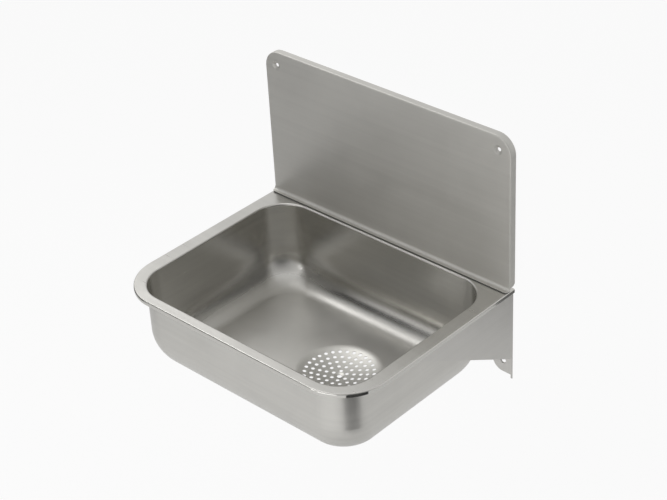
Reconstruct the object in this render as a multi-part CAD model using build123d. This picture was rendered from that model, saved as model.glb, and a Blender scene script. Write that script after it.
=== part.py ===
from build123d import *
import os
from math import asin, cos, hypot, radians, sin

# A wall-hung slop sink of stainless sheet, with a splashback and two brackets.
# The origin is on the wall, at mid width, at the height of the deck's top.
# +X runs along the wall, the sink stands out from the wall towards -Y, and +Z is up.
# All lengths are in millimetres and all angles in degrees.

# Sheets
sheet = 1.2
bracket_sheet = 2.0

# Deck and its turned-down rim
sink_width = 500.0
sink_depth = 380.0
deck_corner_radius = 80.0
rim_drop = 6.5
rim_bend_radius = 2.0
rear_flange_height = 22.0
rear_flange_end_gap = 4.0

# Bowl, measured on its inside
front_land = 19.0
side_land = 25.0
rear_land = 25.0
lip_radius = 3.0
bowl_corner_radius = 57.0
bowl_corner_growth = -0.35
bowl_depth = 141.5
bowl_bend_height = 60.0
bowl_bend_reach = 45.0
bowl_bend_sections = 10

# Strainer pressed into the bowl's floor
strainer_x = 48.0
strainer_from_wall = 188.0
strainer_rings = 5
first_ring_radius = 12.4
ring_pitch = 10.8
ring_turn = -1.2
strainer_hole_radius = 3.1
waste_screw_hole_radius = 4.25
waste_dimple_radius = 8.5
waste_dimple_depth = 1.4
dish_curve_radius = 240.0
dish_blend_radius = 35.0
dish_margin = 3.5

# Splashback
splash_height = 265.0
splash_stand_off = 12.0
splash_corner_radius = 30.0
splash_bend_radius = 2.0
return_end_radius = 6.0
foot_reach = 8.5
foot_bend_radius = 4.0
foot_corner_radius = 6.0

# Screw holes of the splashback, each in a pressed dimple
splash_hole_inset = 24.0
splash_hole_radius = 3.25
splash_dimple_radius = 7.5
splash_dimple_depth = 3.0
dimple_seat = 1.0
dimple_edge_radius = 1.0

# Seal and fixings of the splashback's foot
gasket_thickness = 1.5
gasket_setback = 0.6
stud_count = 4
stud_end_inset = 40.0
stud_radius = 2.0
stud_length = 12.0
stud_clearance = 0.25
washer_radius = 4.5
washer_thickness = 0.8
nut_across_flats = 7.0
nut_height = 3.2
thread_clearance = 0.1

# Brackets
bracket_reach = 238.0
bracket_top_flange = 15.0
bracket_wall_flange = 40.0
bracket_bend_radius = 3.0
gusset_height = 134.0
ear_hole_below_deck = 144.0
ear_hole_from_side = 20.0
ear_hole_radius = 4.5
ear_countersink = 1.0
ear_strip_width = 4.5
ear_strip_bottom = 171.0

# How near an edge has to be to a place to count as there, and a cutter's length through a sheet
near = 0.01
cutter_length = 8.0

# Worked out from the sizes above
half_width = sink_width / 2
bowl_half_width = half_width - side_land
bowl_front_y = front_land - sink_depth
bowl_rear_y = -rear_land
bowl_length_y = bowl_rear_y - bowl_front_y
bowl_centre_y = (bowl_rear_y + bowl_front_y) / 2
bend_top_z = bowl_bend_height - bowl_depth
face_y = -splash_stand_off
foot_front_y = face_y - foot_reach
foot_under_z = gasket_thickness
face_bottom_z = foot_under_z + sheet + foot_bend_radius
stud_y = (face_y + foot_front_y) / 2
bracket_outer_x = half_width - sheet
ear_hole_x = half_width - ear_hole_from_side
ear_radius = ear_hole_x - (bracket_outer_x - bracket_wall_flange)
last_ring_radius = first_ring_radius + ring_pitch * (strainer_rings - 1)


def wall_side_outline(width, reach, corner_radius, past_wall=0.0):
    """A plan outline that is rounded in front and square at the wall."""
    both_sides = RectangleRounded(width, 2 * reach, corner_radius)
    kept = Pos(0, (past_wall - reach) / 2) * Rectangle(width, reach + past_wall)
    return both_sides & kept


def stud_places():
    """The X of each stud, spread evenly along the splashback's foot."""
    first = stud_end_inset - half_width
    step = (sink_width - 2 * stud_end_inset) / (stud_count - 1)
    return [first + step * number for number in range(stud_count)]


def round_bars(radius, low_z, high_z):
    """An upright round bar at each stud's place."""
    bar = extrude(Circle(radius), amount=high_z - low_z)
    return [Pos(x, stud_y, low_z) * bar for x in stud_places()]


def bowl_section(bend_angle, grow):
    """The bowl's outline where its bottom bend has turned by bend_angle."""
    turn = radians(bend_angle)
    inset = bowl_bend_reach * (1 - cos(turn))
    lean = cos(turn) / bowl_bend_reach
    fall = sin(turn) / bowl_bend_height
    outward = grow * lean / hypot(lean, fall)
    downward = grow * fall / hypot(lean, fall)
    width = 2 * (bowl_half_width - inset + outward)
    length = bowl_length_y - 2 * inset + 2 * outward
    corner = bowl_corner_radius + bowl_corner_growth * inset + outward
    drop = bowl_bend_height * sin(turn) + downward
    return Pos(0, bowl_centre_y, bend_top_z - drop) * RectangleRounded(width, length, corner)


def bowl_body(grow, top_z):
    """The bowl as a full body: its upright walls, then its bottom bend."""
    walls = extrude(bowl_section(0, grow), amount=top_z - bend_top_z)
    steps = range(bowl_bend_sections + 1)
    bend = loft([bowl_section(90 * step / bowl_bend_sections, grow) for step in steps])
    return walls + bend


def dish_profile_point(radius, angle, centre_z):
    """A point on an arc about the strainer's axis or about a circle round it."""
    return (radius * sin(angle), centre_z - radius * cos(angle))


def strainer_dish():
    """The dished strainer, with its top edge at height 0 and its axis on Z."""
    hollow_edge = last_ring_radius + strainer_hole_radius + dish_margin
    slope = asin(hollow_edge / dish_curve_radius)
    blend_rise = dish_blend_radius * (1 - cos(slope))
    dish_edge = hollow_edge + dish_blend_radius * sin(slope)
    curve_z = dish_curve_radius * cos(slope) - blend_rise
    dimple_turn = asin(waste_dimple_radius / dish_curve_radius)

    def surface(below):
        turns = [dimple_turn + (slope - dimple_turn) * share for share in (0, 0.5, 1)]
        hollow = [dish_profile_point(dish_curve_radius + below, turn, curve_z) for turn in turns]
        blend = [
            (
                dish_edge - (dish_blend_radius - below) * sin(slope * share),
                -dish_blend_radius + (dish_blend_radius - below) * cos(slope * share),
            )
            for share in (1, 0.5, 0)
        ]
        return hollow, blend

    top_hollow, top_blend = surface(0)
    low_hollow, low_blend = surface(sheet)
    seat_z = top_hollow[0][1] - waste_dimple_depth
    top_seat = (waste_screw_hole_radius, seat_z)
    low_seat = (waste_screw_hole_radius, seat_z - sheet)
    profile = [
        Line(top_seat, top_hollow[0]),
        ThreePointArc(*top_hollow),
        ThreePointArc(*top_blend),
        Line(top_blend[2], low_blend[2]),
        ThreePointArc(*low_blend),
        ThreePointArc(*low_hollow),
        Line(low_hollow[0], low_seat),
        Line(low_seat, top_seat),
    ]
    return dish_edge, revolve(Plane.XZ * make_face(profile), Axis.Z)


def strainer_holes():
    """A cutter for every ring, each second ring turned by half a step."""
    cutter = Pos(0, 0, -bowl_depth / 2) * Cylinder(strainer_hole_radius, bowl_depth)
    holes = []
    for ring in range(1, strainer_rings + 1):
        radius = first_ring_radius + ring_pitch * (ring - 1)
        count = 6 * ring
        half_step = 180 / count if ring % 2 == 0 else 0
        for number in range(count):
            turn = ring_turn + half_step + 360 * number / count
            holes.append(Rot(0, 0, turn) * Pos(radius, 0, 0) * cutter)
    return holes


def basin():
    """Deck, turned-down rim, bowl and strainer, pressed from one sheet."""
    block = extrude(wall_side_outline(sink_width, sink_depth, deck_corner_radius), amount=-rim_drop)
    top_edges = [e for e in block.edges().group_by(Axis.Z)[-1] if e.center().Y < -sheet]
    block = fillet(top_edges, rim_bend_radius)
    under_outline = wall_side_outline(
        sink_width - 2 * sheet, sink_depth - sheet, deck_corner_radius - sheet, past_wall=sheet
    )
    under = Pos(0, 0, -rim_drop - sheet) * extrude(under_outline, amount=rim_drop)
    under_edges = [e for e in under.edges().group_by(Axis.Z)[-1] if e.center().Y < 0]
    under = fillet(under_edges, rim_bend_radius - sheet)
    body = block - under + bowl_body(sheet, -sheet / 2)

    seam = [
        e
        for e in body.edges().filter_by_position(Axis.Z, -sheet - near, -sheet + near)
        if abs(e.center().X) < bowl_half_width + sheet + near
        and abs(e.center().Y - bowl_centre_y) < bowl_length_y / 2 + sheet + near
    ]
    body = fillet(seam, lip_radius - sheet)
    body -= bowl_body(0, sheet)
    lip = [
        e
        for e in body.edges().filter_by_position(Axis.Z, -near, near)
        if abs(e.center().X) < bowl_half_width + near
        and abs(e.center().Y - bowl_centre_y) < bowl_length_y / 2 + near
    ]
    body = fillet(lip, lip_radius)

    flange_half = bracket_outer_x - bracket_wall_flange - rear_flange_end_gap
    hung_below = (Align.CENTER, Align.MAX, Align.MAX)
    flange = Box(2 * flange_half, sheet, rear_flange_height - sheet / 2, align=hung_below)
    body += Pos(0, 0, -sheet / 2) * flange

    floor = Pos(strainer_x, -strainer_from_wall, -bowl_depth)
    dish_edge, dish = strainer_dish()
    body -= floor * Cylinder(dish_edge, cutter_length)
    body += floor * dish
    body -= [floor * hole for hole in strainer_holes()]
    body -= round_bars(stud_radius + stud_clearance, -2 * sheet, sheet)
    return body


def splash_outline(grow, low_z, high_z):
    """The splashback's front outline, rounded at its top corners, on the wall plane."""
    width = sink_width + 2 * grow
    reach = high_z + grow - low_z
    both_ends = RectangleRounded(width, 2 * reach, splash_corner_radius + grow)
    kept = Pos(0, reach / 2) * Rectangle(width, reach)
    return Plane.XZ * Pos(0, low_z) * (both_ends & kept)


def screw_dimple():
    """A screw hole at the bottom of a pressed dimple, on the Y axis, mouth towards -Y."""
    seat = splash_hole_radius + dimple_seat
    profile = Polyline(
        (splash_dimple_radius + dimple_seat, 0),
        (splash_dimple_radius, 0),
        (seat, splash_dimple_depth),
        (splash_hole_radius, splash_dimple_depth),
        (splash_hole_radius, splash_dimple_depth + sheet),
        (seat, splash_dimple_depth + sheet),
        (splash_dimple_radius, sheet),
        (splash_dimple_radius + dimple_seat, sheet),
        close=True,
    )
    return revolve(make_face(profile), Axis.Y)


def splash_foot():
    """The splashback's lower edge, bent forward to lie on the deck."""
    bend_y = face_y - foot_bend_radius
    bend_z = face_bottom_z
    outer = foot_bend_radius + sheet
    diagonal = cos(radians(45))
    profile = [
        Line((face_y, bend_z), (face_y + sheet, bend_z)),
        ThreePointArc(
            (face_y + sheet, bend_z),
            (bend_y + outer * diagonal, bend_z - outer * diagonal),
            (bend_y, foot_under_z),
        ),
        Line((bend_y, foot_under_z), (foot_front_y, foot_under_z)),
        Line((foot_front_y, foot_under_z), (foot_front_y, foot_under_z + sheet)),
        Line((foot_front_y, foot_under_z + sheet), (bend_y, foot_under_z + sheet)),
        ThreePointArc(
            (bend_y, foot_under_z + sheet),
            (bend_y + foot_bend_radius * diagonal, bend_z - foot_bend_radius * diagonal),
            (face_y, bend_z),
        ),
    ]
    bent = extrude(Plane.YZ * make_face(profile), amount=half_width, both=True)
    plan = extrude(wall_side_outline(sink_width, -foot_front_y, foot_corner_radius), amount=2 * bend_z)
    return bent & plan


def splashback():
    """Face, returns on its top and sides, and the foot, folded from one sheet."""
    tray = extrude(splash_outline(0, face_bottom_z, splash_height), amount=splash_stand_off)
    front_edges = [
        e for e in tray.edges().group_by(Axis.Y)[0] if e.center().Z > face_bottom_z + sheet
    ]
    tray = fillet(front_edges, splash_bend_radius)
    hollow_outline = splash_outline(-sheet, face_bottom_z - sheet, splash_height)
    hollow = Pos(0, sheet, 0) * extrude(hollow_outline, amount=splash_stand_off)
    hollow_edges = [e for e in hollow.edges().group_by(Axis.Y)[0] if e.center().Z > face_bottom_z]
    hollow = fillet(hollow_edges, splash_bend_radius - sheet)
    body = tray - hollow
    return_ends = [
        e
        for e in body.edges().filter_by(Axis.X)
        if abs(e.center().Y) < near and abs(e.center().Z - face_bottom_z) < near
    ]
    body = fillet(return_ends, return_end_radius)

    hole_z = splash_height - splash_hole_inset
    punch = Rot(90, 0, 0) * Cylinder(splash_dimple_radius + dimple_seat, cutter_length)
    for side in (-1, 1):
        place = Pos(side * (half_width - splash_hole_inset), face_y, hole_z)
        body = body - place * punch + place * screw_dimple()
    rims = [
        e
        for e in body.edges().filter_by(GeomType.CIRCLE)
        if abs(e.center().Y - face_y) < near and abs(e.radius - splash_dimple_radius) < near
    ]
    body = fillet(rims, dimple_edge_radius)
    return body + splash_foot()


def foot_gasket():
    """The seal between the splashback's foot and the deck."""
    reach = -foot_front_y - gasket_setback
    width = sink_width - 2 * gasket_setback
    plan = wall_side_outline(width, reach, foot_corner_radius - gasket_setback)
    plan &= Pos(0, face_y - (reach + face_y) / 2) * Rectangle(width, reach + face_y)
    strip = extrude(plan, amount=gasket_thickness)
    return strip - round_bars(stud_radius + stud_clearance, -sheet, 2 * gasket_thickness)


def foot_studs():
    """Studs welded under the splashback's foot."""
    return round_bars(stud_radius, foot_under_z - stud_length, foot_under_z)


def foot_washers():
    """A washer on each stud, against the underside of the deck."""
    rings = round_bars(washer_radius, -sheet - washer_thickness, -sheet)
    bores = round_bars(stud_radius + stud_clearance, -sheet - 2 * washer_thickness, 0)
    return [ring - bore for ring, bore in zip(rings, bores)]


def foot_nuts():
    """A nut on each stud, under its washer."""
    top_z = -sheet - washer_thickness
    hexagon = RegularPolygon(nut_across_flats / 2, 6, major_radius=False)
    nut = extrude(hexagon - Circle(stud_radius + thread_clearance), amount=-nut_height)
    return [Pos(x, stud_y, top_z) * nut for x in stud_places()]


def bracket(side):
    """Side plate, top flange and wall flange of one bracket, on the side given."""
    slope = (gusset_height - rim_drop) / (bracket_reach - (rim_drop - sheet))
    strip_z = -gusset_height + slope * ear_strip_width
    plate_points = [
        (0, -sheet),
        (-bracket_reach, -sheet),
        (-ear_strip_width, strip_z),
        (-ear_strip_width, -ear_strip_bottom),
        (0, -ear_strip_bottom),
    ]
    plate = Plane.YZ * make_face(Polyline(*plate_points, close=True))
    body = Pos(bracket_outer_x, 0, 0) * extrude(plate, amount=-bracket_sheet)
    strip_end = [
        e
        for e in body.edges().filter_by(Axis.X)
        if abs(e.center().Z + ear_strip_bottom) < near and e.center().Y < -near
    ]
    body = fillet(strip_end, ear_strip_width / 2)

    top = Box(bracket_top_flange, bracket_reach, bracket_sheet, align=(Align.MAX, Align.MAX, Align.MAX))
    body += Pos(bracket_outer_x, 0, -sheet) * top

    inner_x = bracket_outer_x - bracket_wall_flange
    ear_bottom_z = -ear_hole_below_deck - ear_radius
    diagonal = ear_radius * cos(radians(45))
    flange_outline = [
        Line((inner_x, -sheet), (bracket_outer_x, -sheet)),
        Line((bracket_outer_x, -sheet), (bracket_outer_x, ear_bottom_z)),
        Line((bracket_outer_x, ear_bottom_z), (ear_hole_x, ear_bottom_z)),
        ThreePointArc(
            (ear_hole_x, ear_bottom_z),
            (ear_hole_x - diagonal, -ear_hole_below_deck - diagonal),
            (inner_x, -ear_hole_below_deck),
        ),
        Line((inner_x, -ear_hole_below_deck), (inner_x, -sheet)),
    ]
    body += extrude(Plane.XZ * make_face(flange_outline), amount=bracket_sheet)
    bends = [
        e
        for e in body.edges()
        if abs(e.center().X - bracket_outer_x) < near
        and ((e.center().Y > -near and e.length > bracket_reach / 4) or (e.center().Z > -sheet - near))
    ]
    body = fillet(bends, bracket_bend_radius)

    punch = Rot(90, 0, 0) * Cylinder(ear_hole_radius, cutter_length)
    body -= Pos(ear_hole_x, 0, -ear_hole_below_deck) * punch
    mouth = [
        e
        for e in body.edges().filter_by(GeomType.CIRCLE)
        if abs(e.center().Y + bracket_sheet) < near and abs(e.radius - ear_hole_radius) < near
    ]
    body = chamfer(mouth, ear_countersink)
    return body if side > 0 else mirror(body, Plane.YZ)


nodes = {
    "basin": basin(),
    "splashback": splashback(),
    "foot_gasket": foot_gasket(),
    "foot_studs": foot_studs(),
    "foot_washers": foot_washers(),
    "foot_nuts": foot_nuts(),
    "bracket_left": bracket(-1),
    "bracket_right": bracket(1),
}

os.makedirs("parts", exist_ok=True)
for name, shape in nodes.items():
    solids = Compound(children=shape) if isinstance(shape, list) else shape
    export_step(solids, f"parts/{name}.step")
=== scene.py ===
from math import cos, pi, radians, sin

import bpy
from mathutils import Matrix, Vector


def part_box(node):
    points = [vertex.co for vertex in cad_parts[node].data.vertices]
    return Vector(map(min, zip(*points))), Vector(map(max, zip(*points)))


# A wall-hung slop sink of satin stainless steel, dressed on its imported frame.
# All lengths are in metres: +X runs along the wall, -Y stands out from it and +Z is up.

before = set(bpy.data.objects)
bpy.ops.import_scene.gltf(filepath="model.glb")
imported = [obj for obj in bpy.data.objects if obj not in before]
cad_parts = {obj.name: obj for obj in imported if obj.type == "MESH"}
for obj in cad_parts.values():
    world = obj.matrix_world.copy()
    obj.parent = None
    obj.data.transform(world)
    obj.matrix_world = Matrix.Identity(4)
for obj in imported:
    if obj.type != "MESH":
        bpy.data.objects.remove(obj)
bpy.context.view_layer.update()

# Camera
camera_azimuth = 44.35
camera_elevation = 32.82
camera_roll = -3.34
camera_distance = 2.642
camera_aim = Vector((0.0158, -0.1518, 0.0544))
camera_lens = 92.56
sensor_width = 36.0

# Room
floor_z = -0.62
floor_size = 12.0
floor_shade = 0.92
floor_own_white = 0.85
room_level = 0.76
dark_side = Vector((0.807, -0.565, 0.174))
# How near a direction is to the dark side, from 0 to 1, and the room's shade there
room_stops = ((0.5, 1.0), (0.84, 0.62), (0.98, 0.2))

# Deck and bowl of the basin, for its finishes
basin_low, basin_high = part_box("basin")
deck_half_width = basin_high.x
deck_reach = -basin_low.y
deck_corner_radius = 0.08
rim_bend = 0.0022
rim_drop = 0.0066
bowl_half_width = 0.225
bowl_front_y = -0.361
bowl_rear_y = -0.025
bowl_corner_radius = 0.057
bowl_middle = Vector((0, (bowl_front_y + bowl_rear_y) / 2, -0.03))
bend_low_z = -0.1405
bend_top_z = -0.125
# How far a face may lie outside its surface, and how level one is that lies flat
skin = 0.0002
level_enough = 0.95

# Lamps: name, place, size and brightness
lamps = (
    ("lamp_high_left", Vector((-0.95, 0.1, 1.4)), (0.45, 0.9), 3.6),
    ("lamp_front_low", Vector((0.35, -1.9, -0.05)), (1.1, 0.7), 2.2),
    ("lamp_front_strip", Vector((-0.55, -2.05, 0.62)), (0.25, 0.9), 2.2),
)

# Dark cards, seen only in reflections: name, place, size and shade
cards = (
    ("card_near_corner", Vector((0.84, -0.6, -0.5)), (0.6, 0.7), 0.08),
    ("card_high_left", Vector((-1.0, -0.95, 0.95)), (0.9, 0.7), 0.03),
    ("card_low_left", Vector((-1.25, -0.7, -0.3)), (1.0, 1.2), 0.03),
    ("card_rear_right", Vector((0.75, 0.72, -0.35)), (0.45, 0.5), 0.2),
)


def set_inputs(node, **values):
    """Sets a node's inputs by name, with underscores for the spaces."""
    for name, value in values.items():
        node.inputs[name.replace("_", " ")].default_value = value


def look_at(place, target):
    """The turn that faces something's -Z from its place to the target."""
    return (target - place).to_track_quat("-Z", "Y")


def make_camera():
    azimuth = radians(camera_azimuth)
    elevation = radians(camera_elevation)
    level_reach = cos(elevation)
    outward = Vector((level_reach * sin(azimuth), -level_reach * cos(azimuth), sin(elevation)))
    place = camera_aim + outward * camera_distance
    turn = look_at(place, camera_aim).to_matrix() @ Matrix.Rotation(radians(camera_roll), 3, "Z")
    lens = bpy.data.cameras.new("camera")
    lens.lens = camera_lens
    lens.sensor_width = sensor_width
    lens.sensor_fit = "HORIZONTAL"
    camera = bpy.data.objects.new("camera", lens)
    camera.matrix_world = Matrix.Translation(place) @ turn.to_4x4()
    bpy.context.scene.collection.objects.link(camera)
    bpy.context.scene.camera = camera


def make_lamp(name, place, size, brightness):
    """A soft rectangular lamp whose face shows the given brightness, aimed at the sink."""
    light = bpy.data.lights.new(name, "AREA")
    light.shape = "RECTANGLE"
    light.size = size[0]
    light.size_y = size[1]
    light.energy = brightness * pi * size[0] * size[1]
    lamp = bpy.data.objects.new(name, light)
    turn = look_at(place, camera_aim).to_matrix().to_4x4()
    lamp.matrix_world = Matrix.Translation(place) @ turn
    lamp.visible_camera = False
    bpy.context.scene.collection.objects.link(lamp)


def plane(name, size):
    """A flat rectangle about the origin, facing +Z."""
    x = size[0] / 2
    y = size[1] / 2
    mesh = bpy.data.meshes.new(name)
    mesh.from_pydata([(-x, -y, 0), (x, -y, 0), (x, y, 0), (-x, y, 0)], [], [(0, 1, 2, 3)])
    sheet = bpy.data.objects.new(name, mesh)
    bpy.context.scene.collection.objects.link(sheet)
    return sheet


def new_material(name):
    """A node material with an empty tree, and its tree."""
    material = bpy.data.materials.new(name)
    material.use_nodes = True
    material.node_tree.nodes.clear()
    return material, material.node_tree


def seen_white(tree):
    """A factor of 1 for rays that come from the camera or through glass."""
    rays = tree.nodes.new("ShaderNodeLightPath")
    seen = tree.nodes.new("ShaderNodeMath")
    seen.operation = "MAXIMUM"
    tree.links.new(rays.outputs["Is Camera Ray"], seen.inputs[0])
    tree.links.new(rays.outputs["Is Transmission Ray"], seen.inputs[1])
    return seen.outputs[0]


def make_world():
    """White where it is seen, and for the rest a soft room that is darker towards one side."""
    world = bpy.data.worlds.new("studio")
    world.use_nodes = True
    tree = world.node_tree
    tree.nodes.clear()
    shown = tree.nodes.new("ShaderNodeBackground")
    set_inputs(shown, Color=(1, 1, 1, 1), Strength=1.0)
    way = tree.nodes.new("ShaderNodeTexCoord")
    towards_dark = tree.nodes.new("ShaderNodeVectorMath")
    towards_dark.operation = "DOT_PRODUCT"
    towards_dark.inputs[1].default_value = dark_side
    level = tree.nodes.new("ShaderNodeValToRGB")
    stops = level.color_ramp.elements
    stops[0].position, stops[1].position = room_stops[0][0], room_stops[-1][0]
    for position, _ in room_stops[1:-1]:
        stops.new(position)
    for stop, (position, shade) in zip(stops, room_stops):
        stop.color = (shade, shade, shade, 1)
    room = tree.nodes.new("ShaderNodeBackground")
    set_inputs(room, Strength=room_level)
    mix = tree.nodes.new("ShaderNodeMixShader")
    output = tree.nodes.new("ShaderNodeOutputWorld")
    tree.links.new(way.outputs["Generated"], towards_dark.inputs[0])
    tree.links.new(towards_dark.outputs["Value"], level.inputs["Fac"])
    tree.links.new(level.outputs["Color"], room.inputs["Color"])
    tree.links.new(seen_white(tree), mix.inputs[0])
    tree.links.new(room.outputs[0], mix.inputs[1])
    tree.links.new(shown.outputs[0], mix.inputs[2])
    tree.links.new(mix.outputs[0], output.inputs["Surface"])
    bpy.context.scene.world = world


def floor_material():
    """Pale floor that keeps a soft shadow, and is clear from below."""
    material, tree = new_material("studio_floor")
    paint = tree.nodes.new("ShaderNodeBsdfDiffuse")
    set_inputs(paint, Color=(floor_shade, floor_shade, floor_shade, 1))
    white = tree.nodes.new("ShaderNodeEmission")
    set_inputs(white, Color=(1, 1, 1, 1), Strength=1.0)
    share = tree.nodes.new("ShaderNodeMath")
    share.operation = "MULTIPLY"
    share.inputs[1].default_value = floor_own_white
    shown = tree.nodes.new("ShaderNodeMixShader")
    under = tree.nodes.new("ShaderNodeMixShader")
    clear = tree.nodes.new("ShaderNodeBsdfTransparent")
    side = tree.nodes.new("ShaderNodeNewGeometry")
    output = tree.nodes.new("ShaderNodeOutputMaterial")
    tree.links.new(seen_white(tree), share.inputs[0])
    tree.links.new(share.outputs[0], shown.inputs[0])
    tree.links.new(paint.outputs[0], shown.inputs[1])
    tree.links.new(white.outputs[0], shown.inputs[2])
    tree.links.new(side.outputs["Backfacing"], under.inputs[0])
    tree.links.new(shown.outputs[0], under.inputs[1])
    tree.links.new(clear.outputs[0], under.inputs[2])
    tree.links.new(under.outputs[0], output.inputs["Surface"])
    return material


def card_material(name, shade):
    """A plain matt card of the studio."""
    material, tree = new_material(name)
    paint = tree.nodes.new("ShaderNodeBsdfDiffuse")
    set_inputs(paint, Color=(shade, shade, shade, 1))
    output = tree.nodes.new("ShaderNodeOutputMaterial")
    tree.links.new(paint.outputs[0], output.inputs["Surface"])
    return material


def make_studio():
    make_world()
    floor = plane("studio_floor", (floor_size, floor_size))
    floor.location.z = floor_z
    floor.data.materials.append(floor_material())
    for name, place, size, brightness in lamps:
        make_lamp(name, place, size, brightness)
    for name, place, size, shade in cards:
        card = plane(name, size)
        turn = look_at(place, bowl_middle).to_matrix().to_4x4()
        card.matrix_world = Matrix.Translation(place) @ turn
        card.visible_camera = False
        card.visible_shadow = False
        card.visible_diffuse = False
        card.data.materials.append(card_material(name, shade))


def new_group(name, inputs, outputs):
    """A shader node group with named sockets, its tree and its two ends."""
    group = bpy.data.node_groups.new(name, "ShaderNodeTree")
    for label, kind, value in inputs:
        socket = group.interface.new_socket(name=label, in_out="INPUT", socket_type=kind)
        socket.default_value = value
    for label, kind in outputs:
        group.interface.new_socket(name=label, in_out="OUTPUT", socket_type=kind)
    return group, group.nodes.new("NodeGroupInput"), group.nodes.new("NodeGroupOutput")


def brushed_lines_group():
    """Fine grinding lines and broader streaks, both drawn out along one direction."""
    group, start, end = new_group(
        "brushed lines",
        (
            ("Place", "NodeSocketVector", (0, 0, 0)),
            ("Stretch", "NodeSocketVector", (20, 1500, 1500)),
        ),
        (("Lines", "NodeSocketFloat"), ("Streaks", "NodeSocketFloat")),
    )
    drawn = group.nodes.new("ShaderNodeVectorMath")
    drawn.operation = "MULTIPLY"
    fine = group.nodes.new("ShaderNodeTexNoise")
    set_inputs(fine, Scale=1.0, Detail=3.0, Roughness=0.7)
    broad = group.nodes.new("ShaderNodeTexNoise")
    set_inputs(broad, Scale=0.09, Detail=2.0, Roughness=0.6)
    group.links.new(start.outputs["Place"], drawn.inputs[0])
    group.links.new(start.outputs["Stretch"], drawn.inputs[1])
    group.links.new(drawn.outputs[0], fine.inputs["Vector"])
    group.links.new(drawn.outputs[0], broad.inputs["Vector"])
    group.links.new(fine.outputs["Fac"], end.inputs["Lines"])
    group.links.new(broad.outputs["Fac"], end.inputs["Streaks"])
    return group


def cloudy_finish_group():
    """Slow changes in how polished the sheet is, as hand finishing leaves."""
    group, start, end = new_group(
        "cloudy finish",
        (
            ("Place", "NodeSocketVector", (0, 0, 0)),
            ("Size", "NodeSocketFloat", 14.0),
            ("Lines", "NodeSocketFloat", 0.5),
            ("Roughness", "NodeSocketFloat", 0.3),
            ("Change", "NodeSocketFloat", 0.06),
            ("Colour", "NodeSocketColor", (0.6, 0.6, 0.6, 1)),
            ("Tint", "NodeSocketFloat", 0.05),
        ),
        (("Roughness", "NodeSocketFloat"), ("Colour", "NodeSocketColor")),
    )
    cloud = group.nodes.new("ShaderNodeTexNoise")
    set_inputs(cloud, Detail=4.0, Roughness=0.55, Distortion=0.4)
    both = group.nodes.new("ShaderNodeMath")
    both.operation = "ADD"
    centred = group.nodes.new("ShaderNodeMath")
    centred.operation = "SUBTRACT"
    centred.inputs[1].default_value = 1.0
    change = group.nodes.new("ShaderNodeMath")
    change.operation = "MULTIPLY_ADD"
    shade = group.nodes.new("ShaderNodeMath")
    shade.operation = "MULTIPLY_ADD"
    shade.inputs[2].default_value = 1.0
    colour = group.nodes.new("ShaderNodeVectorMath")
    colour.operation = "SCALE"
    group.links.new(start.outputs["Place"], cloud.inputs["Vector"])
    group.links.new(start.outputs["Size"], cloud.inputs["Scale"])
    group.links.new(cloud.outputs["Fac"], both.inputs[0])
    group.links.new(start.outputs["Lines"], both.inputs[1])
    group.links.new(both.outputs[0], centred.inputs[0])
    group.links.new(centred.outputs[0], change.inputs[0])
    group.links.new(start.outputs["Change"], change.inputs[1])
    group.links.new(start.outputs["Roughness"], change.inputs[2])
    group.links.new(centred.outputs[0], shade.inputs[0])
    group.links.new(start.outputs["Tint"], shade.inputs[1])
    group.links.new(start.outputs["Colour"], colour.inputs[0])
    group.links.new(shade.outputs[0], colour.inputs["Scale"])
    group.links.new(change.outputs[0], end.inputs["Roughness"])
    group.links.new(colour.outputs[0], end.inputs["Colour"])
    return group


brushed_lines = brushed_lines_group()
cloudy_finish = cloudy_finish_group()


def steel(name, colour, roughness, stretch, line_depth, change=0.06, tint=0.05, low=None):
    """Stainless steel with brushed lines along one direction and a cloudy finish.

    Low gives a second roughness at the bowl's floor, reached over its bottom bend.
    """
    material, tree = new_material(name)
    place = tree.nodes.new("ShaderNodeTexCoord")
    lines = tree.nodes.new("ShaderNodeGroup")
    lines.node_tree = brushed_lines
    set_inputs(lines, Stretch=stretch)
    finish = tree.nodes.new("ShaderNodeGroup")
    finish.node_tree = cloudy_finish
    set_inputs(finish, Size=cloud_size, Roughness=roughness, Change=change, Tint=tint)
    set_inputs(finish, Colour=(*colour, 1))
    bump = tree.nodes.new("ShaderNodeBump")
    set_inputs(bump, Strength=1.0, Distance=line_depth)
    metal = tree.nodes.new("ShaderNodeBsdfPrincipled")
    set_inputs(metal, Metallic=1.0)
    output = tree.nodes.new("ShaderNodeOutputMaterial")
    tree.links.new(place.outputs["Object"], lines.inputs["Place"])
    tree.links.new(place.outputs["Object"], finish.inputs["Place"])
    tree.links.new(lines.outputs["Streaks"], finish.inputs["Lines"])
    if low is not None:
        parts = tree.nodes.new("ShaderNodeSeparateXYZ")
        height = tree.nodes.new("ShaderNodeMapRange")
        height.interpolation_type = "SMOOTHSTEP"
        set_inputs(height, From_Min=bend_low_z, From_Max=bend_top_z, To_Min=low, To_Max=roughness)
        tree.links.new(place.outputs["Object"], parts.inputs[0])
        tree.links.new(parts.outputs["Z"], height.inputs["Value"])
        tree.links.new(height.outputs["Result"], finish.inputs["Roughness"])
    tree.links.new(finish.outputs["Colour"], metal.inputs["Base Color"])
    tree.links.new(finish.outputs["Roughness"], metal.inputs["Roughness"])
    tree.links.new(lines.outputs["Lines"], bump.inputs["Height"])
    tree.links.new(bump.outputs["Normal"], metal.inputs["Normal"])
    tree.links.new(metal.outputs[0], output.inputs["Surface"])
    return material


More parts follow.
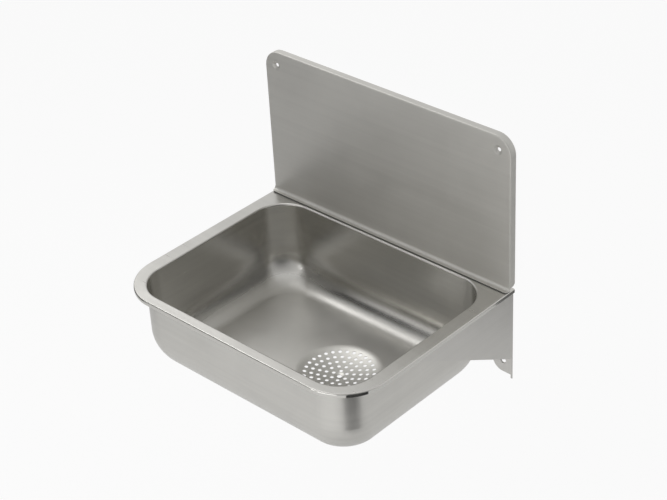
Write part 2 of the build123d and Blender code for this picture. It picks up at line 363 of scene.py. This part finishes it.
def seal_rubber():
    """Matt black rubber with a fine moulded grain."""
    material, tree = new_material("seal_rubber_matt")
    place = tree.nodes.new("ShaderNodeTexCoord")
    grain = tree.nodes.new("ShaderNodeTexNoise")
    set_inputs(grain, Scale=2500.0, Detail=2.0)
    shade = tree.nodes.new("ShaderNodeValToRGB")
    shade.color_ramp.elements[0].color = (0.045, 0.045, 0.045, 1)
    shade.color_ramp.elements[1].color = (0.075, 0.075, 0.072, 1)
    bump = tree.nodes.new("ShaderNodeBump")
    set_inputs(bump, Strength=0.4, Distance=0.0001)
    rubber = tree.nodes.new("ShaderNodeBsdfPrincipled")
    set_inputs(rubber, Roughness=0.7)
    output = tree.nodes.new("ShaderNodeOutputMaterial")
    tree.links.new(place.outputs["Object"], grain.inputs["Vector"])
    tree.links.new(grain.outputs["Fac"], shade.inputs["Fac"])
    tree.links.new(shade.outputs["Color"], rubber.inputs["Base Color"])
    tree.links.new(grain.outputs["Fac"], bump.inputs["Height"])
    tree.links.new(bump.outputs["Normal"], rubber.inputs["Normal"])
    tree.links.new(rubber.outputs[0], output.inputs["Surface"])
    return material


# How far the brushed lines are squeezed along each axis
along_x = (16, 1600, 1600)
along_y = (1600, 16, 1600)
round_about = (60, 60, 1600)

# Steel colours, and the size of the finish's clouds
sheet_colour = (0.61, 0.6, 0.57)
plate_colour = (0.6, 0.59, 0.565)
fixing_colour = (0.6, 0.59, 0.575)
cloud_size = 14.0

deck_satin = steel("deck_satin", sheet_colour, 0.3, along_x, 0.00004, change=0.1, tint=0.1)
bowl_polish = steel(
    "bowl_polish", sheet_colour, 0.24, round_about, 0.00001, change=0.1, tint=0.18, low=0.42
)
rim_polish = steel("rim_polish", sheet_colour, 0.06, along_x, 0.000002, change=0.02)
outside_satin = steel(
    "bowl_outside_satin", sheet_colour, 0.32, round_about, 0.00003, change=0.12, tint=0.16
)
splash_satin = steel("splash_satin", sheet_colour, 0.55, along_x, 0.00004, change=0.1, tint=0.14)
bracket_satin = steel("bracket_satin", plate_colour, 0.34, along_y, 0.00004, change=0.1, tint=0.12)
fixing_bright = steel("fixing_bright", fixing_colour, 0.22, round_about, 0.000004)


def outside_rounded(x, y, half_width, half_length, radius):
    """How far a plan point lies outside a rounded rectangle about the origin."""
    across = max(abs(x) - half_width + radius, 0)
    along = max(abs(y) - half_length + radius, 0)
    return (across * across + along * along) ** 0.5 - radius


def basin_finish(face):
    """The number of the finish that a face of the basin has."""
    middle = face.center
    if face.normal.z > level_enough and middle.z > -skin:
        return 0
    from_edge = outside_rounded(middle.x, middle.y, deck_half_width, deck_reach, deck_corner_radius)
    if from_edge > -rim_bend and middle.z > -rim_drop and face.normal.dot(middle - bowl_middle) > 0:
        return 2
    half_length = (bowl_rear_y - bowl_front_y) / 2
    from_bowl = outside_rounded(
        middle.x, middle.y - bowl_middle.y, bowl_half_width, half_length, bowl_corner_radius
    )
    if from_bowl < skin and face.normal.dot(bowl_middle - middle) > 0:
        return 1
    return 3


def finish_basin():
    """Gives each face of the basin its own finish: deck, bowl, rim or outside."""
    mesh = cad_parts["basin"].data
    mesh.materials.clear()
    for material in (deck_satin, bowl_polish, rim_polish, outside_satin):
        mesh.materials.append(material)
    for face in mesh.polygons:
        face.material_index = basin_finish(face)


def finish_node(node, material):
    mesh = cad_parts[node].data
    mesh.materials.clear()
    mesh.materials.append(material)


make_camera()
make_studio()
finish_basin()
finish_node("splashback", splash_satin)
finish_node("bracket_left", bracket_satin)
finish_node("bracket_right", bracket_satin)
finish_node("foot_gasket", seal_rubber())
for fixing in ("foot_studs", "foot_washers", "foot_nuts"):
    finish_node(fixing, fixing_bright)

bpy.context.scene.view_settings.view_transform = "Standard"
